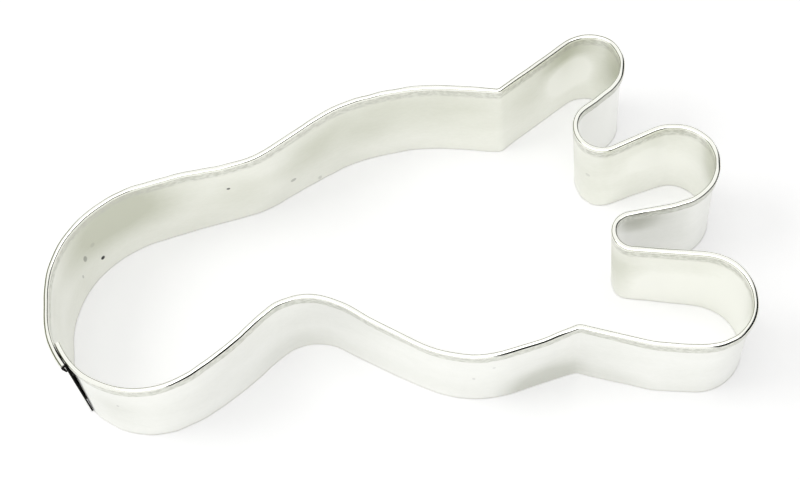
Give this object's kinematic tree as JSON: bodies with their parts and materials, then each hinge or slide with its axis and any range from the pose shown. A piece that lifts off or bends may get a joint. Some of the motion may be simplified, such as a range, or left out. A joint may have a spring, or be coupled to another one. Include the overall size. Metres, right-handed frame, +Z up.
{
  "type": "cookie cutter",
  "caption": "Tinplate cookie cutter in the outline of a three-toed foot: a hemmed strip bent to shape and closed by a spot-welded lap behind the heel.",
  "frame": {"origin": "on the plane of the cutting edge, under the middle of the outline's bounding box", "axes": "+X from the heel to the toes, +Y towards the big toe's side, +Z up from the cutting edge to the hem"},
  "size_m": [0.1378, 0.0726, 0.0254],
  "materials": {
    "tinplate": "bright rolled tin plate",
    "weld": "heat-dulled weld"
  },
  "bodies": {
    "root": {"cutter_strip": "tinplate", "spot_weld_lower": "weld", "spot_weld_middle": "weld", "spot_weld_upper": "weld"}
  },
  "joints": []
}
